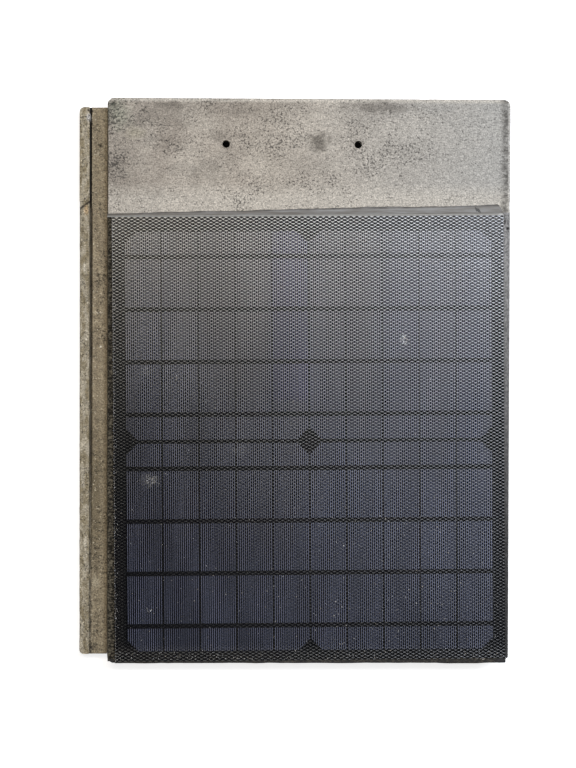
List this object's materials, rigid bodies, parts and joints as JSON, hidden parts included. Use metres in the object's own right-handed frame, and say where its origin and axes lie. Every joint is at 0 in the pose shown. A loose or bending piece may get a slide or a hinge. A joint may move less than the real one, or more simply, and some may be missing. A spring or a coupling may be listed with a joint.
{
  "type": "solar roof tile",
  "caption": "Flat interlocking concrete roof tile with side locks, hanging nibs and nail holes, and a photovoltaic laminate bonded to its exposed face.",
  "frame": {"origin": "centre of the footprint on the plane of the nib feet and tail nose", "axes": "+X across the tile from the channel to the overlock, +Y towards the head, +Z out of the exposed face"},
  "size_m": [0.32, 0.42, 0.0295],
  "materials": {
    "concrete": "cast concrete, worn and porous",
    "adhesive": "dark polyurethane adhesive, dusty",
    "sealant": "grey sealant, tooled by hand",
    "back_sheet": "black backing sheet",
    "front_sheet": "clear fluoropolymer, honeycomb embossed",
    "silicon": "blue-black monocrystalline silicon with printed silver fingers",
    "ribbon": "black-coated copper ribbon",
    "box_plastic": "moulded black polymer, fine grain",
    "outlet_plastic": "moulded black polymer"
  },
  "bodies": {
    "root": {"concrete_tile": "concrete", "adhesive_bed": "adhesive", "head_sealant": "sealant", "back_sheet": "back_sheet", "front_sheet": "front_sheet", "junction_box": "box_plastic", "junction_lid": "box_plastic", "lead_outlet_left": "outlet_plastic", "lead_outlet_right": "outlet_plastic", "cell_row1_strip1": "silicon", "cell_row1_strip2": "silicon", "cell_row1_strip3": "silicon", "cell_row1_strip4": "silicon", "cell_row1_strip5": "silicon", "cell_row1_strip6": "silicon", "cell_row1_strip7": "silicon", "cell_row1_strip8": "silicon", "cell_row1_strip9": "silicon", "cell_row1_strip10": "silicon", "cell_row2_strip1": "silicon", "cell_row2_strip2": "silicon", "cell_row2_strip3": "silicon", "cell_row2_strip4": "silicon", "cell_row2_strip5": "silicon", "cell_row2_strip6": "silicon", "cell_row2_strip7": "silicon", "cell_row2_strip8": "silicon", "cell_row2_strip9": "silicon", "cell_row2_strip10": "silicon", "ribbon_row1_1": "ribbon", "ribbon_row1_2": "ribbon", "ribbon_row1_3": "ribbon", "ribbon_row1_4": "ribbon", "ribbon_row2_1": "ribbon", "ribbon_row2_2": "ribbon", "ribbon_row2_3": "ribbon", "ribbon_row2_4": "ribbon"}
  },
  "joints": []
}
